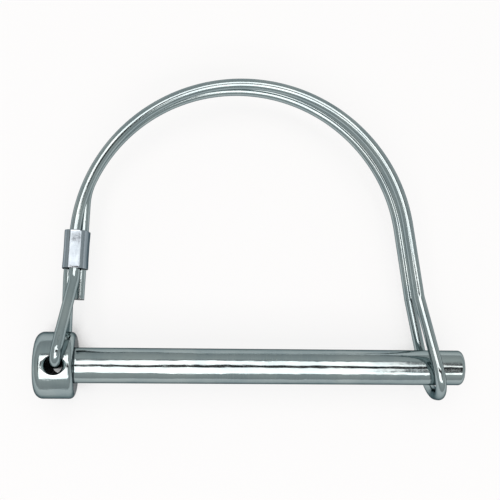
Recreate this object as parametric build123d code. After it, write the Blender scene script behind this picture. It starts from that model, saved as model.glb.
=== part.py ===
from build123d import *
from math import atan2, cos, degrees, hypot, pi, radians, sin, sqrt, tan
import os

# Locking hitch pin: a round headed pin with a spring wire bail that swings on the pin's
# head and snaps round the pin's tip. Millimetres. The pin lies along +X with the head at
# its -X end, the bail arches over to +Y, and the bail swings about an axis along Z.
# The origin is on the pin's axis, in the face under the head.

# Pin
shank_radius = 4.0
shank_length = 88.5
head_radius = 7.5
head_length = 9.2
head_crown_height = 0.5
head_outer_rounding = 2.0
head_inner_rounding = 1.2
tip_rounding = 1.0

# Cross hole through the head, which holds the wire
cross_hole_radius = 1.9
cross_hole_from_seat = 4.1
countersink_depth = 1.0

# Spring wire
wire_radius = 1.25
hinge_gap = 0.06
hinge_pull_angle = 50.0
head_side_gap = 0.33
tip_loop_gap = 1.1

# Bail outline, seen along Z
bail_lean = 2.2
sleeve_line_offset = 2.1
arch_height = 28.3
arch_bulge = 0.08
arch_splay = 0.04
tip_overhang = 7.25
tip_kink_height = 16.0
tip_kink_back = 3.6
upper_leg_lean = 8.1

# Bends in the wire
hole_bend_radius = 2.6
leg_rise = 20.0
spread_height = 6.5
spread_end_height = 19.3
spread_bend_radius = 7.0
front_entry_radius = 12.0
back_entry_radius = 15.0
kink_bend_radius = 6.0
loop_bend_radius = 5.6
cut_end_height = 14.5
cut_end_chamfer = 0.25

# Crimped sleeve that holds the two wire ends against the running wire
sleeve_start = 21.45
sleeve_length = 8.7
sleeve_wall = 0.4
sleeve_clearance = 0.02
sleeve_edge_chamfer = 0.12
end_inset = 0.4
strand_gap = 0.04
strand_spacing = 2.6
back_strands_shift = -0.2
front_strand_foot = 0.1
front_strand_lean = 3.3

arch_pieces = 3
shortest_run = 0.001

# The wire is pulled towards the upper, tip side of its hole, a running gap short of the wall
hinge_shift = cross_hole_radius - wire_radius - hinge_gap
hinge_x = -cross_hole_from_seat + hinge_shift * cos(radians(hinge_pull_angle))
hinge_y = hinge_shift * sin(radians(hinge_pull_angle))
leg_z = head_radius + head_side_gap + wire_radius
leg_rising = radians(leg_rise)
loop_z = shank_radius + tip_loop_gap + wire_radius

# The sleeve's own plane: x from the sleeve line towards the arch, y along the sleeve
lean = radians(bail_lean)
across = Vector(cos(lean), -sin(lean), 0)
along = Vector(sin(lean), cos(lean), 0)
bail_origin = Vector(hinge_x, hinge_y, 0) + across * sleeve_line_offset
sleeve_end = sleeve_start + sleeve_length


def front_strand_x(y):
    """Place across the sleeve of the leaning front strand, at the height y."""
    return front_strand_foot - (y - spread_end_height) * tan(radians(front_strand_lean))


# Three strands nest in the sleeve: one in front, and behind it the leg's end and the arch's.
# The front strand crosses the arch's back strand above the sleeve, strand_gap clear of it.
leg_end_x = back_strands_shift - strand_spacing / 2
arch_end_x = back_strands_shift + strand_spacing / 2
back_strand_z = wire_radius + strand_gap / 2
front_strand_z = back_strand_z - arch_splay * arch_end_x

# The tip leg has a kink, and its lower run points at the middle of the loop round the tip
loop_centre = Vector(shank_length - tip_overhang, 0, 0)
kink_to_loop = Vector(tip_kink_back, -tip_kink_height, 0)
origin_to_kink = loop_centre - kink_to_loop - bail_origin

# The arch's two strands lie in planes that spread by arch_splay from the sleeve to the tip.
# In each plane the arch just passes the front strand's line at arch_height and touches the
# tip leg above the kink.
splay_stretch = hypot(1, arch_splay)
kink = Vector(origin_to_kink.dot(across) * splay_stretch, origin_to_kink.dot(along))
arch_side = front_strand_x(arch_height) - arch_bulge
closing_angle = bail_lean + upper_leg_lean
closing = radians(closing_angle)
kink_reach = (kink.X - arch_side) * cos(closing) + (kink.Y - arch_height) * sin(closing)
arch_radius = kink_reach / (1 + cos(closing))
arch_centre = Vector(arch_side + arch_radius, arch_height)


def bail_point(x, y, z):
    """Point of the sleeve's own plane, raised by z."""
    return bail_origin + across * x + along * y + Vector(0, 0, z)


def arch_point(side, point):
    """Point of the arch strand's plane in front (side 1) or behind (side -1)."""
    x = point.X / splay_stretch
    return bail_point(x, point.Y, side * (front_strand_z + arch_splay * x))


def make_pin():
    """Head, shank and tip, turned in one piece, with the countersunk cross hole."""
    head_end = -head_length
    crown_edge = head_end + head_crown_height
    profile = Polyline(
        (crown_edge, head_radius),
        (0, head_radius),
        (0, shank_radius),
        (shank_length, shank_radius),
        (shank_length, 0),
        (head_end, 0),
    )
    crown_radius = (head_radius**2 + head_crown_height**2) / (2 * head_crown_height)
    crown = RadiusArc((head_end, 0), (crown_edge, head_radius), crown_radius)
    section = make_face([*profile.edges(), *crown.edges()])
    roundings = (
        ((crown_edge, head_radius), head_outer_rounding),
        ((0, head_radius), head_inner_rounding),
        ((shank_length, shank_radius), tip_rounding),
    )
    for corner, radius in roundings:
        vertex = section.vertices().sort_by_distance(Vector(*corner))[0]
        section = fillet(vertex, radius)
    pin = revolve(section, Axis.X)

    hole_centre = (-cross_hole_from_seat, 0, 0)
    pin -= Pos(*hole_centre) * Cylinder(cross_hole_radius, 3 * head_radius)
    mouth_radius = cross_hole_radius + 2 * countersink_depth
    countersink = Cone(cross_hole_radius, mouth_radius, 2 * countersink_depth)
    for side in (0, 180):
        pin -= Pos(*hole_centre) * Rot(side, 0, 0) * Pos(0, 0, head_radius) * countersink
    return pin


def bent_path(corners, radii):
    """Straight runs through the corners, joined by tangent arcs of the given radii."""
    edges = []
    start = corners[0]
    for before, corner, after, radius in zip(corners, corners[1:], corners[2:], radii):
        back = (before - corner).normalized()
        onward = (after - corner).normalized()
        half_angle = radians(back.get_angle(onward)) / 2
        reach = radius / tan(half_angle)
        first = corner + back * reach
        last = corner + onward * reach
        middle = corner + (back + onward).normalized() * radius * (1 / sin(half_angle) - 1)
        if (first - start).length > shortest_run:
            edges.append(Edge.make_line(start, first))
        edges.append(Edge.make_three_point_arc(first, middle, last))
        start = last
    edges.append(Edge.make_line(start, corners[-1]))
    return Wire(edges)


def arch_entry(x, y, strand_lean, bend_radius):
    """Bend that joins a straight strand to the arch and touches both.

    The strand passes (x, y) and leans by strand_lean in degrees. Returns the angle of the
    arch that the bend leaves out, in degrees, and the bend's corner in the strand's plane."""
    leaning = radians(strand_lean)
    upwards = Vector(-sin(leaning), cos(leaning))
    inwards = Vector(cos(leaning), sin(leaning))
    foot = Vector(x * splay_stretch, y)
    offset = foot + inwards * bend_radius - arch_centre
    centres_apart = arch_radius - bend_radius
    rise = sqrt(centres_apart**2 - offset.dot(inwards) ** 2) - offset.dot(upwards)
    to_bend_centre = offset + upwards * rise
    left_out = atan2(to_bend_centre.Y, -to_bend_centre.X)
    corner = foot + upwards * (rise + bend_radius * tan((left_out + leaning) / 2))
    return degrees(left_out), corner


def arch_strand(side, left_out, entry_corner):
    """Corners of one strand from its entry bend over the arch to the kink by the tip."""
    step = (180 - left_out - closing_angle) / arch_pieces
    reach = arch_radius / cos(radians(step / 2))
    corners = [entry_corner]
    for piece in range(arch_pieces):
        angle = radians(180 - left_out - step * (piece + 0.5))
        corners.append(arch_centre + Vector(cos(angle), sin(angle)) * reach)
    corners.append(kink)
    return [arch_point(side, corner) for corner in corners]


def wire_route():
    """Corners and bend radii of the whole wire, from the cut end to the end in the sleeve."""
    front = Vector(0, 0, 1)
    kink_z = arch_point(1, kink).Z
    beyond_centre = loop_z / kink_to_loop.length
    loop_bottom = loop_centre + kink_to_loop * beyond_centre
    loop_bottom_z = loop_z + (loop_z - kink_z) * beyond_centre

    back_entry = arch_entry(arch_end_x, cut_end_height, 0, back_entry_radius)
    front_entry = arch_entry(
        front_strand_foot, spread_end_height, front_strand_lean, front_entry_radius
    )
    back_strand = arch_strand(-1, *back_entry)
    front_strand = arch_strand(1, *front_entry)
    arch_radii = [arch_radius] * arch_pieces + [kink_bend_radius]
    front_foot_z = front_strand_z + arch_splay * front_strand_foot

    # Each leg rises at an angle towards the cross hole and bends into it level with leg_z
    hole_corner_z = leg_z + hole_bend_radius * (tan(pi / 4 + leg_rising / 2) - 1)
    hinge = bail_point(-sleeve_line_offset, 0, 0)
    spread_z = hole_corner_z - spread_height * tan(leg_rising)
    spread_share = spread_height / spread_end_height
    front_spread_x = (front_strand_foot + sleeve_line_offset) * spread_share - sleeve_line_offset
    back_spread_x = (leg_end_x + sleeve_line_offset) * spread_share - sleeve_line_offset

    route = [
        (bail_point(arch_end_x, cut_end_height, -back_strand_z), None),
        *zip(back_strand, [back_entry_radius, *arch_radii]),
        (loop_bottom - front * loop_bottom_z, loop_bend_radius),
        (loop_bottom + front * loop_bottom_z, loop_bend_radius),
        *zip(reversed(front_strand), reversed([front_entry_radius, *arch_radii])),
        (bail_point(front_strand_foot, spread_end_height, front_foot_z), spread_bend_radius),
        (bail_point(front_spread_x, spread_height, spread_z), spread_bend_radius),
        (hinge + front * hole_corner_z, hole_bend_radius),
        (hinge - front * hole_corner_z, hole_bend_radius),
        (bail_point(back_spread_x, spread_height, -spread_z), spread_bend_radius),
        (bail_point(leg_end_x, spread_end_height, -back_strand_z), spread_bend_radius),
        (bail_point(leg_end_x, sleeve_end - end_inset, -back_strand_z), None),
    ]
    corners = [corner for corner, radius in route]
    radii = [radius for corner, radius in route[1:-1]]
    return corners, radii


def make_wire():
    """One wire: over the arch, round the tip, back over, through the head and into the sleeve."""
    corners, radii = wire_route()
    path = bent_path(corners, radii)
    section = Plane(path @ 0, z_dir=path % 0) * Circle(wire_radius)
    wire = sweep(section, path)
    ends = wire.faces().filter_by(GeomType.PLANE).edges()
    wire = chamfer(ends, cut_end_chamfer)
    return wire, path


def make_sleeve():
    """Tube pressed to the rounded triangle of the three strands that it holds."""
    start = bail_point(0, sleeve_start, 0)
    section_plane = Plane(start, x_dir=across, z_dir=along)
    strands = (
        (front_strand_x(sleeve_start), -front_strand_z),
        (front_strand_x(sleeve_end), -front_strand_z),
        (arch_end_x, back_strand_z),
        (leg_end_x, back_strand_z),
    )

    def around(radius):
        circles = [Pos(x, y) * Circle(radius) for x, y in strands]
        return make_hull([edge for circle in circles for edge in circle.edges()])

    bore_radius = wire_radius + sleeve_clearance
    outside = extrude(section_plane * around(bore_radius + sleeve_wall), sleeve_length)
    bore = extrude(section_plane * around(bore_radius), sleeve_length)
    rims = outside.faces().filter_by(GeomType.PLANE).sort_by(Axis(start, along))
    outside = chamfer([*rims[0].edges(), *rims[-1].edges()], sleeve_edge_chamfer)
    return outside - bore


os.makedirs("parts", exist_ok=True)
wire, wire_path = make_wire()
nodes = {"pin": make_pin(), "wire_bail": wire, "crimp_sleeve": make_sleeve()}
for name, shape in nodes.items():
    export_step(shape, f"parts/{name}.step")

wire_section_area = pi * wire_radius**2
print("wire length", round(wire_path.length, 2))
print("wire volume over section times length", wire.volume / wire_section_area / wire_path.length)
print("hinge", round(hinge_x, 4), round(hinge_y, 4))
print("arch radius", round(arch_radius, 3))
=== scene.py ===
import math
import bmesh
import bpy
from mathutils import Matrix, Vector, kdtree


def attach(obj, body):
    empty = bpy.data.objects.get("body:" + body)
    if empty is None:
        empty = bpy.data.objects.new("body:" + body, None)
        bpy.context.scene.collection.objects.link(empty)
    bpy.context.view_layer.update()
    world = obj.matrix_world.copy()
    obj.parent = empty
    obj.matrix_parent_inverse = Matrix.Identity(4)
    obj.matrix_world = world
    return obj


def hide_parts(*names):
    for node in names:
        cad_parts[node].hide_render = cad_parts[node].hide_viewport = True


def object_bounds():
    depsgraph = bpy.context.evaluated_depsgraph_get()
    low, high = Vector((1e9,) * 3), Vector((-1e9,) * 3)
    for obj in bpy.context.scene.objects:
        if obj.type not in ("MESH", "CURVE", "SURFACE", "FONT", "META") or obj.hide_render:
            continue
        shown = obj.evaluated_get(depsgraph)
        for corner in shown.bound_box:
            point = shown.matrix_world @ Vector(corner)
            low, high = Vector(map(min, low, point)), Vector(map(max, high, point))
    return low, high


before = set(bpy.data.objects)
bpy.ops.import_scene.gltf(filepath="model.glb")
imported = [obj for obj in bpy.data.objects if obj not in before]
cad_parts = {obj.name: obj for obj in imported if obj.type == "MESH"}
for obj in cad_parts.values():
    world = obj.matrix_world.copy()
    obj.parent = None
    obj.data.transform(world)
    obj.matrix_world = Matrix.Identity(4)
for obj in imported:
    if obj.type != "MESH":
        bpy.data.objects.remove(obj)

cadLow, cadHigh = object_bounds()
scene = bpy.context.scene
scene.view_settings.view_transform = "Standard"
mm = 0.001                                     # sizes below are in millimetres, meshes in metres

# Camera: looks almost straight down on the lying pin
cameraSetup = {
    "target": (0.039117, 0.026788, 0.0),       # in metres, in the pin's middle plane
    "distance": 0.212317,
    "pitch": -7.214,                           # turns in degrees about X, Y and Z, in this order
    "yaw": 4.228,
    "roll": -0.936,
    "lens": 65.92,
    "sensor": 36,
    "clip": (0.01, 20),
}


def addCamera(setup):
    data = bpy.data.cameras.new("camera")
    data.lens = setup["lens"]
    data.sensor_width = setup["sensor"]
    data.clip_start, data.clip_end = setup["clip"]
    turn = Matrix.Rotation(math.radians(setup["roll"]), 4, "Z")
    turn = turn @ Matrix.Rotation(math.radians(setup["yaw"]), 4, "Y")
    turn = turn @ Matrix.Rotation(math.radians(setup["pitch"]), 4, "X")
    camera = bpy.data.objects.new("camera", data)
    scene.collection.objects.link(camera)
    backOff = Matrix.Translation((0, 0, setup["distance"]))
    camera.matrix_world = Matrix.Translation(setup["target"]) @ turn.transposed() @ backOff
    scene.camera = camera


# Studio: a white table under soft panels that leave a dark slot for the camera. Panels are given
# by the angles in degrees at which the table's middle sees their edges: -X, +X, -Y and +Y.
studio = {
    "floorColour": (0.78, 0.78, 0.78),
    "floorRoughness": 0.9,
    "floorShown": 0.8,                         # share of plain white that camera and metal see
    "floorSize": 30.0,
    "coverReach": 0.008,                       # how near the pin must be to darken the table
    "coverShades": (0.52, 0.70),               # open sky at which the table is dark, and white
    "lightHeights": (0.15, 0.70, 0.90),        # sines of the heights of the next three lights
    "horizonLight": (0.52, 0.53, 0.53),
    "middleLight": (0.66, 0.675, 0.665),
    "topLight": (0.03, 0.03, 0.032),
    "panelHeight": 0.7,
    "panelRadiance": 3.2,
    "panelColour": (1.0, 0.92, 0.90),
    "panels": {
        "panelNear": (-28, 17.5, -47, -9.2),
        "panelFar": (-7, 17.5, 7.2, 35),
        "panelFarLeft": (-28, -7, 7.2, 31),
        "panelLeft": (-28, -12, -8, 6),
        "panelRight": (17.5, 34, 5, 14),
        "panelTip": (17.5, 36, -46, -37),
    },
}


def addNode(tree, kind, values=None, **settings):
    node = tree.nodes.new(kind)
    for key, value in settings.items():
        setattr(node, key, value)
    for key, value in (values or {}).items():
        node.inputs[key].default_value = value
    return node


def addMath(tree, operation, first, second):
    node = addNode(tree, "ShaderNodeMath", operation=operation)
    for socket, value in zip(node.inputs, (first, second)):
        if isinstance(value, (int, float)):
            socket.default_value = value
        else:
            tree.links.new(value, socket)
    return node.outputs[0]


def addRange(tree, value, fromLow, fromHigh, toLow=0.0, toHigh=1.0):
    values = {"From Min": fromLow, "From Max": fromHigh, "To Min": toLow, "To Max": toHigh}
    node = addNode(tree, "ShaderNodeMapRange", values)
    tree.links.new(value, node.inputs["Value"])
    return node.outputs[0]


def addFloor(setup):
    half = setup["floorSize"] / 2
    z = cadLow.z
    corners = [(-half, -half, z), (half, -half, z), (half, half, z), (-half, half, z)]
    mesh = bpy.data.meshes.new("floor")
    mesh.from_pydata(corners, [], [(0, 1, 2, 3)])
    floor = bpy.data.objects.new("floor", mesh)
    scene.collection.objects.link(floor)
    material = bpy.data.materials.new("floorPaper")
    material.use_nodes = True
    shader = material.node_tree.nodes["Principled BSDF"]
    shader.inputs["Base Color"].default_value = (*setup["floorColour"], 1)
    shader.inputs["Roughness"].default_value = setup["floorRoughness"]
    shader.inputs["Specular IOR Level"].default_value = 0.0
    tree = material.node_tree
    rays = addNode(tree, "ShaderNodeLightPath").outputs
    seen = addMath(tree, "MAXIMUM", rays["Is Camera Ray"], rays["Is Glossy Ray"])
    seen = addMath(tree, "MAXIMUM", seen, rays["Is Transmission Ray"])
    reach = {"Distance": setup["coverReach"]}
    cover = addNode(tree, "ShaderNodeAmbientOcclusion", reach, samples=8)
    uncovered = addRange(tree, cover.outputs["AO"], *setup["coverShades"])
    seen = addMath(tree, "MULTIPLY", seen, uncovered)
    plain = addNode(tree, "ShaderNodeEmission", {"Color": (1, 1, 1, 1), "Strength": 1.0})
    mix = addNode(tree, "ShaderNodeMixShader")
    tree.links.new(addMath(tree, "MULTIPLY", seen, setup["floorShown"]), mix.inputs[0])
    tree.links.new(shader.outputs[0], mix.inputs[1])
    tree.links.new(plain.outputs[0], mix.inputs[2])
    tree.links.new(mix.outputs[0], tree.nodes["Material Output"].inputs["Surface"])
    mesh.materials.append(material)


def addWorld(setup):
    world = bpy.data.worlds.new("studio")
    scene.world = world
    world.use_nodes = True
    tree = world.node_tree
    direction = addNode(tree, "ShaderNodeTexCoord").outputs["Generated"]
    split = addNode(tree, "ShaderNodeSeparateXYZ")
    ramp = addNode(tree, "ShaderNodeValToRGB")
    tree.links.new(direction, split.inputs[0])
    tree.links.new(split.outputs["Z"], ramp.inputs[0])
    tree.links.new(ramp.outputs["Color"], tree.nodes["Background"].inputs["Color"])
    horizon, middle, top = setup["lightHeights"]
    stops = ramp.color_ramp.elements
    stops[0].position = horizon
    stops[0].color = (*setup["horizonLight"], 1)
    stops[1].position = top
    stops[1].color = (*setup["topLight"], 1)
    stops.new(middle).color = (*setup["middleLight"], 1)


def addPanel(name, edges, setup):
    height = setup["panelHeight"]
    xLow, xHigh, yLow, yHigh = (height * math.tan(math.radians(angle)) for angle in edges)
    middle = (cadLow + cadHigh) / 2
    data = bpy.data.lights.new(name, "AREA")
    data.shape = "RECTANGLE"
    data.size = xHigh - xLow
    data.size_y = yHigh - yLow
    data.energy = setup["panelRadiance"] * math.pi * data.size * data.size_y
    data.color = setup["panelColour"]
    panel = bpy.data.objects.new(name, data)
    panel.location = (middle.x + (xLow + xHigh) / 2, (yLow + yHigh) / 2, height)
    scene.collection.objects.link(panel)


addCamera(cameraSetup)
addFloor(studio)
addWorld(studio)
for panelName, panelEdges in studio["panels"].items():
    addPanel(panelName, panelEdges, studio)
print("studio ready")

# Zinc plate: made in one way, with a dictionary of looks for each piece's finish.
# Scales are per metre, depths in metres.
pinFinish = {
    "darkTint": (0.285, 0.352, 0.366),
    "lightTint": (0.355, 0.418, 0.420),
    "stainTint": (0.25, 0.31, 0.30),
    # Lighter colour on sharp edges: partly real worn plating, partly a painted highlight
    "wornGlintTint": (0.50, 0.52, 0.52),
    "paintedShadeTint": (0.035, 0.037, 0.038),         # painted shade: near-black colour down the cross hole, inside the sleeve and on the wire's cut ends
    "edgeTint": (0.16, 0.18, 0.19),            # darkens the metal where it turns away
    "cloudScale": 140.0,                       # soft patches of colour
    "cloudEdges": (0.35, 0.65),
    "stainScale": 420.0,
    "stainEdges": (0.60, 0.74),
    "stainShare": 0.35,
    "stainRough": 0.08,
    "grainScale": 5200.0,
    "grainDepth": 0.0000012,
    "lineScale": 5200.0,                       # turning marks
    "lineEdges": (0.42, 0.70),
    "lineShare": 0.35,
    "lineDepth": 0.0000016,
    "nickScale": 380.0,
    "nickEdges": (0.03, 0.14),
    "nickDepth": 0.000008,
    "waveScale": (70.0, 260.0, 260.0),         # unevenness, longer along the pin than round it
    "waveDepth": 0.00016,
    "wearGlintBreakup": (0.35, 0.60),                 # grain that breaks up the worn edges and their painted highlight
    "wearGlintLeast": 0.35,
    "wearSmooth": 0.04,
    "boreRough": 0.35,
    "roughLow": 0.08,
    "roughHigh": 0.17,
}
wireFinish = {
    **pinFinish,
    "lineScale": 9.0,
    "lineDepth": 0.0000035,
    "nickScale": 700.0,
    "nickDepth": 0.000006,
    "waveScale": (200.0, 200.0, 200.0),
    "waveDepth": 0.00005,
}
sleeveFinish = {
    **pinFinish,
    "darkTint": (0.280, 0.335, 0.375),
    "lightTint": (0.345, 0.40, 0.435),
    "lineScale": 2400.0,
    "lineDepth": 0.0000020,
    "nickScale": 900.0,
    "nickDepth": 0.000006,
    "waveScale": (420.0, 200.0, 420.0),
    "waveDepth": 0.00005,
    "roughLow": 0.12,
    "roughHigh": 0.22,
}
lineRun = {
    "turningAcross": 0.02,                     # how fast a mark changes round the pin
    "drawingAlong": 9.0,                       # and along the wire
    "sheet": (1.0, 0.12, 1.0),
}


def addNoise(tree, vector, scale, detail=2.0, roughness=0.5):
    values = {"Scale": scale, "Detail": detail, "Roughness": roughness}
    node = addNode(tree, "ShaderNodeTexNoise", values)
    tree.links.new(vector, node.inputs["Vector"])
    return node.outputs[0]


def addTintMix(tree, factor, first, second):
    node = addNode(tree, "ShaderNodeMix", data_type="RGBA")
    tree.links.new(factor, node.inputs[0])
    for socket, value in zip((node.inputs[6], node.inputs[7]), (first, second)):
        if isinstance(value, tuple):
            socket.default_value = (*value, 1)
        else:
            tree.links.new(value, socket)
    return node.outputs[2]


def addBump(tree, height, distance, normal=None):
    node = addNode(tree, "ShaderNodeBump", {"Strength": 1.0, "Distance": distance})
    tree.links.new(height, node.inputs["Height"])
    if normal is not None:
        tree.links.new(normal, node.inputs["Normal"])
    return node.outputs[0]


def addStretch(tree, vector, scale):
    node = addNode(tree, "ShaderNodeMapping", {"Scale": scale})
    tree.links.new(vector, node.inputs["Vector"])
    return node.outputs[0]


# The three ways in which marks run: rings round the pin, lines along the wire, lines up the sheet
def turningVector(tree, place):
    split = addNode(tree, "ShaderNodeSeparateXYZ")
    tree.links.new(place, split.inputs[0])
    x, y, z = split.outputs
    squares = [addMath(tree, "MULTIPLY", side, side) for side in (y, z)]
    radius = addMath(tree, "SQRT", addMath(tree, "ADD", *squares), 0)
    join = addNode(tree, "ShaderNodeCombineXYZ")
    tree.links.new(addMath(tree, "ADD", x, radius), join.inputs[0])
    for side, socket in zip((y, z), join.inputs[1:]):
        tree.links.new(addMath(tree, "MULTIPLY", side, lineRun["turningAcross"]), socket)
    return join.outputs[0]


def drawingVector(tree, place):
    side = addNode(tree, "ShaderNodeAttribute", attribute_name="wireSide")
    along = addNode(tree, "ShaderNodeAttribute", attribute_name="wireAlong")
    split = addNode(tree, "ShaderNodeSeparateXYZ")
    tree.links.new(side.outputs["Vector"], split.inputs[0])
    join = addNode(tree, "ShaderNodeCombineXYZ")
    tree.links.new(split.outputs[0], join.inputs[0])
    tree.links.new(split.outputs[1], join.inputs[1])
    run = addMath(tree, "MULTIPLY", along.outputs["Fac"], lineRun["drawingAlong"])
    tree.links.new(run, join.inputs[2])
    return join.outputs[0]


def sheetVector(tree, place):
    return addStretch(tree, place, lineRun["sheet"])


def zincPlate(name, finish, lineVector):
    material = bpy.data.materials.new(name)
    material.use_nodes = True
    tree = material.node_tree
    shader = tree.nodes["Principled BSDF"]
    place = addNode(tree, "ShaderNodeTexCoord").outputs["Object"]
    cloud = addNoise(tree, place, finish["cloudScale"], 3.0)
    cloud = addRange(tree, cloud, *finish["cloudEdges"])
    stain = addNoise(tree, place, finish["stainScale"], 4.0, 0.6)
    stain = addRange(tree, stain, *finish["stainEdges"])
    grain = addNoise(tree, place, finish["grainScale"], 3.0, 0.6)
    lines = addNoise(tree, lineVector(tree, place), finish["lineScale"], 3.0, 0.65)
    waves = addNoise(tree, addStretch(tree, place, finish["waveScale"]), 1.0, 3.0)
    cells = addNode(tree, "ShaderNodeTexVoronoi", {"Scale": finish["nickScale"]})
    tree.links.new(place, cells.inputs["Vector"])
    nicks = addRange(tree, cells.outputs["Distance"], *finish["nickEdges"])
    # Sharp edges turn lighter: worn plating and a painted highlight
    wearGlint = addNode(tree, "ShaderNodeAttribute", attribute_name="edgeWearGlint").outputs["Fac"]
    broken = addRange(tree, grain, *finish["wearGlintBreakup"], finish["wearGlintLeast"], 1.0)
    wearGlint = addMath(tree, "MULTIPLY", wearGlint, broken)
    # Mask for the near-black painted shade down the cross hole, inside the sleeve and on the
    # wire's cut ends
    depth = addNode(tree, "ShaderNodeAttribute", attribute_name="paintedShade").outputs["Fac"]

    tint = addTintMix(tree, cloud, finish["darkTint"], finish["lightTint"])
    streaks = addRange(tree, lines, *finish["lineEdges"], 0.0, finish["lineShare"])
    tint = addTintMix(tree, streaks, tint, finish["lightTint"])
    stained = addMath(tree, "MULTIPLY", stain, finish["stainShare"])
    tint = addTintMix(tree, stained, tint, finish["stainTint"])
    tint = addTintMix(tree, wearGlint, tint, finish["wornGlintTint"])
    tint = addTintMix(tree, depth, tint, finish["paintedShadeTint"])
    tree.links.new(tint, shader.inputs["Base Color"])

    rough = addRange(tree, lines, 0.3, 0.7, finish["roughLow"], finish["roughHigh"])
    for mark, share in ((stain, finish["stainRough"]), (wearGlint, -finish["wearSmooth"]),
                        (depth, finish["boreRough"])):
        rough = addMath(tree, "ADD", rough, addMath(tree, "MULTIPLY", mark, share))
    tree.links.new(rough, shader.inputs["Roughness"])

    bump = None
    for height, key in ((waves, "waveDepth"), (grain, "grainDepth"), (lines, "lineDepth"),
                        (nicks, "nickDepth")):
        bump = addBump(tree, height, finish[key], bump)
    tree.links.new(bump, shader.inputs["Normal"])
    shader.inputs["Metallic"].default_value = 1.0
    shader.inputs["Specular Tint"].default_value = (*finish["edgeTint"], 1)
    return material


zincPin = zincPlate("zincTurned", pinFinish, turningVector)
zincWire = zincPlate("zincDrawn", wireFinish, drawingVector)
zincSleeve = zincPlate("zincPressed", sleeveFinish, sheetVector)
print("finishes ready")


# Notes how near each point is to a sharp edge, for worn edges that also carry a painted highlight
def markEdges(mesh, sizes):
    mesh.set_sharp_from_angle(angle=math.radians(sizes["sharpAngle"]))
    sharp = mesh.attributes.get("sharp_edge")
    flags = [False] * len(mesh.edges)
    if sharp:
        sharp.data.foreach_get("value", flags)
    ends = {index for edge, flag in zip(mesh.edges, flags) if flag for index in edge.vertices}
    wearGlint = mesh.attributes.new("edgeWearGlint", "FLOAT", "POINT")
    if not ends:
        return
    tree = kdtree.KDTree(len(ends))
    for index in ends:
        tree.insert(mesh.vertices[index].co, index)
    tree.balance()
    for vertex in mesh.vertices:
        distance = tree.find(vertex.co)[2] / mm
        wearGlint.data[vertex.index].value = math.exp(-((distance / sizes["wearGlintWidth"]) ** 2))


def addPiece(name, mesh, material, body, node):
    mesh.name = name
    mesh.materials.clear()
    mesh.materials.append(material)
    piece = bpy.data.objects.new(name, mesh)
    scene.collection.objects.link(piece)
    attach(piece, body)
    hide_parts(node)
    print(name, len(mesh.vertices), "points")
    return piece


# Pin: head, shank and tip, turned in one, with the countersunk cross hole
pin = {
    "shankRadius": 4.0,
    "shankLength": 88.5,
    "headRadius": 7.5,
    "headLength": 9.2,
    "crownHeight": 0.5,
    "outerRounding": 2.0,
    "innerRounding": 1.2,
    "tipRounding": 1.0,
    "rootRounding": 0.15,                      # where the shank meets the head
    "holeRadius": 1.9,
    "holeFromSeat": 4.1,
    "mouthRounding": 1.1,
    "mouthAngle": 74.0,                        # the rounding stops short of the head's surface
    "boreShadeReach": 0.3,                           # how far round the bore the painted shade reaches
    "boreFade": 0.4,
    "sharpAngle": 28,
    "wearGlintWidth": 0.30,
    "segments": 192,
    "holeSegments": 96,
    "ringSpacing": 0.35,
    "arcSteps": 10,
    "rootSteps": 4,
}


def arcPoints(centre, radius, startAngle, endAngle, steps):
    angles = [startAngle + (endAngle - startAngle) * step / steps for step in range(steps + 1)]
    return [Vector((centre[0] + radius * math.cos(angle), centre[1] + radius * math.sin(angle)))
            for angle in angles]


# Adds points on the long straight runs
def spacedRun(points, spacing):
    spaced = [points[0]]
    for start, end in zip(points, points[1:]):
        count = max(1, math.ceil((end - start).length / spacing))
        spaced += [start.lerp(end, step / count) for step in range(1, count + 1)]
    return spaced


# Turns a profile of (place along the axis, radius) points round the X or Z axis
def latheMesh(name, profile, segments, axis):
    rings = [(point.x, point.y) for point in profile[1:-1]]
    first, last = profile[0].x, profile[-1].x
    points = []
    for place, radius in rings:
        for segment in range(segments):
            angle = 2 * math.pi * segment / segments
            points.append((place, radius * math.cos(angle), radius * math.sin(angle)))
    points += [(first, 0, 0), (last, 0, 0)]
    if axis == "Z":
        points = [(y, z, x) for x, y, z in points]
    faces = []
    for ring in range(len(rings) - 1):
        for segment in range(segments):
            a = ring * segments + segment
            b = ring * segments + (segment + 1) % segments
            faces.append((a, b, b + segments, a + segments))
    firstPole = len(points) - 2
    lastPole = len(points) - 1
    lastRing = (len(rings) - 1) * segments
    for segment in range(segments):
        following = (segment + 1) % segments
        faces.append((firstPole, following, segment))
        faces.append((lastPole, lastRing + segment, lastRing + following))
    mesh = bpy.data.meshes.new(name)
    mesh.from_pydata([Vector(point) * mm for point in points], [], faces)
    facesOutward(mesh)
    return mesh


def facesOutward(mesh):
    shape = bmesh.new()
    shape.from_mesh(mesh)
    bmesh.ops.remove_doubles(shape, verts=shape.verts, dist=1e-7)
    bmesh.ops.recalc_face_normals(shape, faces=shape.faces)
    for face in shape.faces:
        face.smooth = True
    shape.to_mesh(mesh)
    shape.free()


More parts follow.
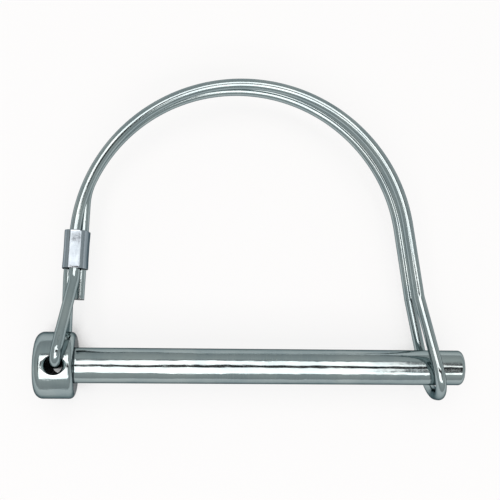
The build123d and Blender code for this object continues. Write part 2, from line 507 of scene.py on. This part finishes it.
def pinProfile(sizes):
    headRadius, shankRadius = sizes["headRadius"], sizes["shankRadius"]
    shankLength, crownHeight = sizes["shankLength"], sizes["crownHeight"]
    outer, inner = sizes["outerRounding"], sizes["innerRounding"]
    tip, root = sizes["tipRounding"], sizes["rootRounding"]
    crownRadius = (headRadius**2 + crownHeight**2) / (2 * crownHeight)
    crownCentre = Vector((crownRadius - sizes["headLength"], 0))
    outerY = headRadius - outer
    outerX = crownCentre.x - math.sqrt((crownRadius - outer) ** 2 - outerY**2)
    outerCentre = Vector((outerX, outerY))
    lean = math.atan2(outerCentre.y, outerCentre.x - crownCentre.x)
    steps = sizes["arcSteps"]
    quarter = math.pi / 2
    profile = arcPoints(crownCentre, crownRadius, math.pi, lean, 3 * steps)
    profile += arcPoints(outerCentre, outer, lean, quarter, 2 * steps)[1:]
    profile += arcPoints((-inner, headRadius - inner), inner, quarter, 0, steps)
    rootCentre = (root, shankRadius + root)
    profile += arcPoints(rootCentre, root, math.pi, 3 * quarter, sizes["rootSteps"])
    profile += arcPoints((shankLength - tip, shankRadius - tip), tip, quarter, 0, steps)
    profile.append(Vector((shankLength, 0)))
    return spacedRun(profile, sizes["ringSpacing"])


# The bore and its rounded mouths along the hole's own axis
def holeProfile(sizes):
    bore, rounding = sizes["holeRadius"], sizes["mouthRounding"]
    knee = sizes["headRadius"] - rounding
    beyond = sizes["headRadius"] + rounding / 2
    mouthAngle = math.radians(sizes["mouthAngle"])
    quarter = math.pi / 2
    mouthCentre = (knee, bore + rounding)
    upper = arcPoints(mouthCentre, rounding, -quarter, mouthAngle - quarter, sizes["arcSteps"])
    upper.append(Vector((beyond, upper[-1].y + (beyond - upper[-1].x) * math.tan(mouthAngle))))
    upper.append(Vector((beyond, 0)))
    lower = [Vector((-point.x, point.y)) for point in reversed(upper)]
    return spacedRun(lower + upper, sizes["ringSpacing"])


def buildPin(sizes):
    blankMesh = latheMesh("pinBlank", pinProfile(sizes), sizes["segments"], "X")
    body = bpy.data.objects.new("pinBlank", blankMesh)
    cutterMesh = latheMesh("crossHole", holeProfile(sizes), sizes["holeSegments"], "Z")
    cutterMesh.transform(Matrix.Translation((-sizes["holeFromSeat"] * mm, 0, 0)))
    cutter = bpy.data.objects.new("crossHole", cutterMesh)
    for thing in (body, cutter):
        scene.collection.objects.link(thing)
    cut = body.modifiers.new("crossHole", "BOOLEAN")
    cut.operation = "DIFFERENCE"
    cut.solver = "EXACT"
    cut.object = cutter
    graph = bpy.context.evaluated_depsgraph_get()
    mesh = bpy.data.meshes.new_from_object(body.evaluated_get(graph))
    for thing in (body, cutter):
        bpy.data.objects.remove(thing)
    markEdges(mesh, sizes)
    markBore(mesh, sizes)
    return mesh


# Notes how deep in the cross hole each point lies, for the painted shade there
def markBore(mesh, sizes):
    depth = mesh.attributes.new("paintedShade", "FLOAT", "POINT")
    knee = (sizes["headRadius"] - sizes["mouthRounding"]) * mm
    for vertex in mesh.vertices:
        x, y, z = vertex.co
        fromAxis = math.hypot(x + sizes["holeFromSeat"] * mm, y)
        if fromAxis < (sizes["holeRadius"] + sizes["boreShadeReach"]) * mm and abs(z) < knee:
            depth.data[vertex.index].value = min(1.0, (knee - abs(z)) / (sizes["boreFade"] * mm))


addPiece("turnedPin", buildPin(pin), zincPin, "shaft", "pin")
print("pin ready")

# Bail: one bent spring wire. The sleeve's own plane has x across the sleeve and y along it.
wire = {
    "radius": 1.25,
    "hingeGap": 0.06,                          # between the wire and the wall that it is pulled to
    "pullAngle": 50.0,
    "headSideGap": 0.33,
    "tipLoopGap": 1.1,
    "lean": 2.2,
    "sleeveLineOffset": 2.1,
    "archHeight": 28.3,
    "archBulge": 0.08,
    "archSplay": 0.04,
    "tipOverhang": 7.25,
    "tipKinkHeight": 16.0,
    "tipKinkBack": 3.6,
    "upperLegLean": 8.1,
    "holeBend": 2.6,
    "legRise": 20.0,
    "spreadHeight": 6.5,
    "spreadEndHeight": 19.3,
    "spreadBend": 7.0,
    "frontEntryBend": 12.0,
    "backEntryBend": 15.0,
    "kinkBend": 6.0,
    "loopBend": 5.6,
    "cutEndHeight": 14.5,
    "endInset": 0.4,
    "strandGap": 0.04,
    "strandSpacing": 2.6,
    "backStrandsShift": -0.2,
    "frontStrandFoot": 0.1,
    "frontStrandLean": 3.3,
    "archPieces": 3,
    "around": 28,                              # faces round the wire
    "step": 0.26,                              # length of a face along the wire
    "bendSteps": 40,
    "endChamfer": 0.25,
    # share of painted shade on the wire's cut end faces
    "cutEndShade": 0.75,
    "sharpAngle": 35,
    "wearGlintWidth": 0.25,
}
sleeve = {
    "start": 21.45,
    "length": 8.7,
    "wall": 0.4,
    "clearance": 0.02,
    "rimRounding": 0.14,
    "pressDepth": 0.05,                        # the press has thinned the wall between the rims
    "pressFade": 3.0,
    "flatThinning": 0.12,                      # and left a flat front
    "flatEnds": (-1.0, 0.45),
    "flatCorner": 1.45,
    "sharpAngle": 60,
    "wearGlintWidth": 0.20,
    "around": 144,
    "stations": 26,
    "rimSteps": 4,
}

hingeShift = pin["holeRadius"] - wire["radius"] - wire["hingeGap"]
pull = math.radians(wire["pullAngle"])
hinge = Vector((hingeShift * math.cos(pull) - pin["holeFromSeat"], hingeShift * math.sin(pull), 0))
legZ = pin["headRadius"] + wire["headSideGap"] + wire["radius"]
loopZ = pin["shankRadius"] + wire["tipLoopGap"] + wire["radius"]
lean = math.radians(wire["lean"])
across = Vector((math.cos(lean), -math.sin(lean), 0))
along = Vector((math.sin(lean), math.cos(lean), 0))
front = Vector((0, 0, 1))
bailOrigin = hinge + across * wire["sleeveLineOffset"]
sleeveEnd = sleeve["start"] + sleeve["length"]


def bailPoint(x, y, z):
    return bailOrigin + across * x + along * y + front * z


def frontStrandX(y):
    slope = math.tan(math.radians(wire["frontStrandLean"]))
    return wire["frontStrandFoot"] - (y - wire["spreadEndHeight"]) * slope


legEndX = wire["backStrandsShift"] - wire["strandSpacing"] / 2
archEndX = wire["backStrandsShift"] + wire["strandSpacing"] / 2
backStrandZ = wire["radius"] + wire["strandGap"] / 2
frontStrandZ = backStrandZ - wire["archSplay"] * archEndX

# The arch touches the tip leg above its kink, in a plane that is splayed about the sleeve line
loopCentre = Vector((pin["shankLength"] - wire["tipOverhang"], 0, 0))
kinkToLoop = Vector((wire["tipKinkBack"], -wire["tipKinkHeight"], 0))
toKink = loopCentre - kinkToLoop - bailOrigin
splayStretch = math.hypot(1, wire["archSplay"])
kink = Vector((toKink.dot(across) * splayStretch, toKink.dot(along)))
archSide = frontStrandX(wire["archHeight"]) - wire["archBulge"]
closing = math.radians(wire["lean"] + wire["upperLegLean"])
kinkReach = (kink.x - archSide) * math.cos(closing)
kinkReach += (kink.y - wire["archHeight"]) * math.sin(closing)
archRadius = kinkReach / (1 + math.cos(closing))
archCentre = Vector((archSide + archRadius, wire["archHeight"]))


def archPoint(side, point):
    x = point.x / splayStretch
    return bailPoint(x, point.y, side * (frontStrandZ + wire["archSplay"] * x))


# Corner of the bend from a straight strand into the arch, and the angle it takes from the arch
def archEntry(x, y, strandLean, bendRadius):
    leaning = math.radians(strandLean)
    upwards = Vector((-math.sin(leaning), math.cos(leaning)))
    inwards = Vector((math.cos(leaning), math.sin(leaning)))
    foot = Vector((x * splayStretch, y))
    offset = foot + inwards * bendRadius - archCentre
    centresApart = archRadius - bendRadius
    rise = math.sqrt(centresApart**2 - offset.dot(inwards) ** 2) - offset.dot(upwards)
    toBend = offset + upwards * rise
    leftOut = math.atan2(toBend.y, -toBend.x)
    return leftOut, foot + upwards * (rise + bendRadius * math.tan((leftOut + leaning) / 2))


def archStrand(side, leftOut, entryCorner):
    pieces = wire["archPieces"]
    step = (math.pi - leftOut - closing) / pieces
    reach = archRadius / math.cos(step / 2)
    angles = [math.pi - leftOut - step * (piece + 0.5) for piece in range(pieces)]
    corners = [archCentre + Vector((math.cos(angle), math.sin(angle))) * reach for angle in angles]
    return [archPoint(side, corner) for corner in (entryCorner, *corners, kink)]


# Corners of the whole wire with the radius of the bend at each, from cut end to cut end
def wireRoute():
    beyondCentre = loopZ / kinkToLoop.length
    loopBottom = loopCentre + kinkToLoop * beyondCentre
    loopBottomZ = loopZ + (loopZ - archPoint(1, kink).z) * beyondCentre
    backEntry = archEntry(archEndX, wire["cutEndHeight"], 0, wire["backEntryBend"])
    backStrand = archStrand(-1, *backEntry)
    frontFoot = (wire["frontStrandFoot"], wire["spreadEndHeight"])
    frontEntry = archEntry(*frontFoot, wire["frontStrandLean"], wire["frontEntryBend"])
    frontStrand = archStrand(1, *frontEntry)
    bends = [archRadius] * wire["archPieces"] + [wire["kinkBend"]]
    frontFootZ = frontStrandZ + wire["archSplay"] * wire["frontStrandFoot"]
    hingeX = -wire["sleeveLineOffset"]
    rising = math.radians(wire["legRise"])
    holeZ = legZ + wire["holeBend"] * (math.tan(math.pi / 4 + rising / 2) - 1)
    spreadZ = holeZ - wire["spreadHeight"] * math.tan(rising)
    spreadShare = wire["spreadHeight"] / wire["spreadEndHeight"]
    frontSpreadX = hingeX + (wire["frontStrandFoot"] - hingeX) * spreadShare
    backSpreadX = hingeX + (legEndX - hingeX) * spreadShare
    return [
        (bailPoint(archEndX, wire["cutEndHeight"], -backStrandZ), 0),
        *zip(backStrand, [wire["backEntryBend"], *bends]),
        (loopBottom - front * loopBottomZ, wire["loopBend"]),
        (loopBottom + front * loopBottomZ, wire["loopBend"]),
        *zip(reversed(frontStrand), reversed([wire["frontEntryBend"], *bends])),
        (bailPoint(*frontFoot, frontFootZ), wire["spreadBend"]),
        (bailPoint(frontSpreadX, wire["spreadHeight"], spreadZ), wire["spreadBend"]),
        (bailPoint(hingeX, 0, holeZ), wire["holeBend"]),
        (bailPoint(hingeX, 0, -holeZ), wire["holeBend"]),
        (bailPoint(backSpreadX, wire["spreadHeight"], -spreadZ), wire["spreadBend"]),
        (bailPoint(legEndX, wire["spreadEndHeight"], -backStrandZ), wire["spreadBend"]),
        (bailPoint(legEndX, sleeveEnd - wire["endInset"], -backStrandZ), 0),
    ]


# Geometry Nodes: rounds the route's corners and runs the wire's section along it
def wireTree(material):
    tree = bpy.data.node_groups.new("wireAlongRoute", "GeometryNodeTree")
    sockets = {}
    for label, kind in (("Route", "NodeSocketGeometry"), ("Wire Radius", "NodeSocketFloat"),
                        ("Faces Around", "NodeSocketInt"), ("Face Length", "NodeSocketFloat"),
                        ("Bend Steps", "NodeSocketInt"), ("End Chamfer", "NodeSocketFloat")):
        socket = tree.interface.new_socket(name=label, in_out="INPUT", socket_type=kind)
        sockets[label] = socket.identifier
    tree.interface.new_socket(name="Wire", in_out="OUTPUT", socket_type="NodeSocketGeometry")
    given = addNode(tree, "NodeGroupInput")
    result = addNode(tree, "NodeGroupOutput")
    join = tree.links.new

    bendRadius = addNode(tree, "GeometryNodeInputNamedAttribute", {"Name": "bendRadius"},
                         data_type="FLOAT")
    toCurve = addNode(tree, "GeometryNodeMeshToCurve")
    fillet = addNode(tree, "GeometryNodeFilletCurve", mode="POLY")
    resample = addNode(tree, "GeometryNodeResampleCurve", mode="LENGTH")
    join(given.outputs["Route"], toCurve.inputs[0])
    join(toCurve.outputs[0], fillet.inputs["Curve"])
    join(bendRadius.outputs[0], fillet.inputs["Radius"])
    join(given.outputs["Bend Steps"], fillet.inputs["Count"])
    join(fillet.outputs[0], resample.inputs["Curve"])
    join(given.outputs["Face Length"], resample.inputs["Length"])

    place = addNode(tree, "GeometryNodeSplineParameter")
    total = addNode(tree, "GeometryNodeSplineLength")
    storeAlong = addNode(tree, "GeometryNodeStoreNamedAttribute", {"Name": "wireAlong"},
                         data_type="FLOAT")
    join(resample.outputs[0], storeAlong.inputs["Geometry"])
    join(place.outputs["Length"], storeAlong.inputs["Value"])
    fromEnd = addMath(tree, "MINIMUM", place.outputs["Length"],
                      addMath(tree, "SUBTRACT", total.outputs["Length"], place.outputs["Length"]))
    cutBack = addMath(tree, "DIVIDE", given.outputs["End Chamfer"], given.outputs["Wire Radius"])
    endFactor = addMath(tree, "DIVIDE", fromEnd, given.outputs["End Chamfer"])
    endFactor = addMath(tree, "MINIMUM", endFactor, 1.0)
    missing = addMath(tree, "MULTIPLY", addMath(tree, "SUBTRACT", 1.0, endFactor), cutBack)
    setRadius = addNode(tree, "GeometryNodeSetCurveRadius")
    join(storeAlong.outputs[0], setRadius.inputs["Curve"])
    join(addMath(tree, "SUBTRACT", 1.0, missing), setRadius.inputs["Radius"])

    circle = addNode(tree, "GeometryNodeCurvePrimitiveCircle", mode="RADIUS")
    join(given.outputs["Faces Around"], circle.inputs["Resolution"])
    join(given.outputs["Wire Radius"], circle.inputs["Radius"])
    position = addNode(tree, "GeometryNodeInputPosition")
    unit = addNode(tree, "ShaderNodeVectorMath", operation="NORMALIZE")
    join(position.outputs[0], unit.inputs[0])
    storeSide = addNode(tree, "GeometryNodeStoreNamedAttribute", {"Name": "wireSide"},
                        data_type="FLOAT_VECTOR")
    join(circle.outputs["Curve"], storeSide.inputs["Geometry"])
    join(unit.outputs[0], storeSide.inputs["Value"])

    toMesh = addNode(tree, "GeometryNodeCurveToMesh", {"Fill Caps": True})
    join(setRadius.outputs[0], toMesh.inputs["Curve"])
    join(storeSide.outputs[0], toMesh.inputs["Profile Curve"])
    realize = addNode(tree, "GeometryNodeRealizeInstances")
    setMaterial = addNode(tree, "GeometryNodeSetMaterial", {"Material": material})
    join(toMesh.outputs[0], realize.inputs[0])
    join(realize.outputs[0], setMaterial.inputs["Geometry"])
    join(setMaterial.outputs[0], result.inputs[0])
    return tree, sockets


def buildWire(sizes):
    route = wireRoute()
    mesh = bpy.data.meshes.new("wireRoute")
    edges = [(index, index + 1) for index in range(len(route) - 1)]
    mesh.from_pydata([corner * mm for corner, bend in route], edges, [])
    bends = mesh.attributes.new("bendRadius", "FLOAT", "POINT")
    for index, (corner, bend) in enumerate(route):
        bends.data[index].value = bend * mm
    guide = bpy.data.objects.new("wireRoute", mesh)
    scene.collection.objects.link(guide)
    tree, sockets = wireTree(zincWire)
    modifier = guide.modifiers.new("wireAlongRoute", "NODES")
    modifier.node_group = tree
    modifier[sockets["Wire Radius"]] = sizes["radius"] * mm
    modifier[sockets["Faces Around"]] = sizes["around"]
    modifier[sockets["Face Length"]] = sizes["step"] * mm
    modifier[sockets["Bend Steps"]] = sizes["bendSteps"]
    modifier[sockets["End Chamfer"]] = sizes["endChamfer"] * mm
    graph = bpy.context.evaluated_depsgraph_get()
    result = bpy.data.meshes.new_from_object(guide.evaluated_get(graph),
                                             preserve_all_data_layers=True, depsgraph=graph)
    guide.modifiers.remove(modifier)
    bpy.data.objects.remove(guide)
    facesOutward(result)
    markEdges(result, sizes)
    markCutEnds(result, sizes)
    return result


# Paints shade on the wire's cut end faces
def markCutEnds(mesh, sizes):
    along = mesh.attributes["wireAlong"].data
    total = max(item.value for item in along)
    dark = mesh.attributes.new("paintedShade", "FLOAT", "POINT")
    for index, item in enumerate(along):
        if min(item.value, total - item.value) < sizes["step"] * mm / 4:
            dark.data[index].value = sizes["cutEndShade"]


addPiece("bentWire", buildWire(wire), zincWire, "bail", "wire_bail")
print("wire ready")


# Sleeve: a thin tube pressed round the three strands
# Outline at the height y as (x, z) points: the tube, pressed to the strands and flat in front
def sleeveOutline(y, offset, thinned, steps):
    backStrands = [(archEndX, -backStrandZ), (legEndX, -backStrandZ)]
    circles = [(Vector(strand), offset) for strand in backStrands]
    circles.append((Vector((frontStrandX(y), frontStrandZ)), offset - thinned))
    circles.append((Vector((wire["backStrandsShift"], 0)), frontStrandZ + offset - thinned))
    corner = sleeve["flatCorner"] + offset - wire["radius"]
    for x in sleeve["flatEnds"]:
        circles.append((Vector((x, frontStrandZ + offset - thinned - corner)), corner))
    points = []
    for step in range(steps):
        angle = 2 * math.pi * step / steps
        outward = Vector((math.sin(angle), math.cos(angle)))
        reach = [centre.dot(outward) + radius for centre, radius in circles]
        centre, radius = circles[reach.index(max(reach))]
        points.append(centre + outward * radius)
    return points


def buildSleeve(sizes):
    bore = wire["radius"] + sizes["clearance"]
    outer = bore + sizes["wall"]
    rounding = sizes["rimRounding"]
    length = sizes["length"]
    rimSteps = sizes["rimSteps"]
    rimAngles = [math.pi / 2 * step / rimSteps for step in range(rimSteps, -1, -1)]
    rim = [(rounding * (1 - math.sin(angle)), rounding * (1 - math.cos(angle)))
           for angle in rimAngles]
    steps = sizes["stations"]
    middle = [rounding + (length - 2 * rounding) * step / steps for step in range(1, steps)]
    outside = [(place, outer - cut) for place, cut in rim]
    for place in middle:
        share = min(1.0, (min(place, length - place) - rounding) / sizes["pressFade"])
        outside.append((place, outer - sizes["pressDepth"] * share * share * (3 - 2 * share)))
    outside += [(length - place, outer - cut) for place, cut in reversed(rim)]
    inside = [(length - place, bore + cut) for place, cut in rim]
    inside += [(place, bore) for place in reversed(middle)]
    inside += [(place, bore + cut) for place, cut in reversed(rim)]
    stations = outside + inside
    around = sizes["around"]
    points = []
    for place, offset in stations:
        y = sizes["start"] + place
        thinned = sizes["flatThinning"] if offset > outer - sizes["wall"] / 2 else 0.0
        outline = sleeveOutline(y, offset, thinned, around)
        points += [bailPoint(point.x, y, point.y) * mm for point in outline]
    faces = []
    for ring in range(len(stations)):
        low = ring * around
        high = (ring + 1) % len(stations) * around
        for index in range(around):
            following = (index + 1) % around
            faces.append((low + index, low + following, high + following, high + index))
    mesh = bpy.data.meshes.new("pressedSleeve")
    mesh.from_pydata(points, [], faces)
    # Painted shade on all of the sleeve's inner surfaces
    dark = mesh.attributes.new("paintedShade", "FLOAT", "POINT")
    insideStart = len(outside) * around
    for index in range(insideStart, len(points)):
        dark.data[index].value = 1.0
    facesOutward(mesh)
    markEdges(mesh, sizes)
    return mesh


addPiece("pressedSleeve", buildSleeve(sleeve), zincSleeve, "bail", "crimp_sleeve")
print("sleeve ready")
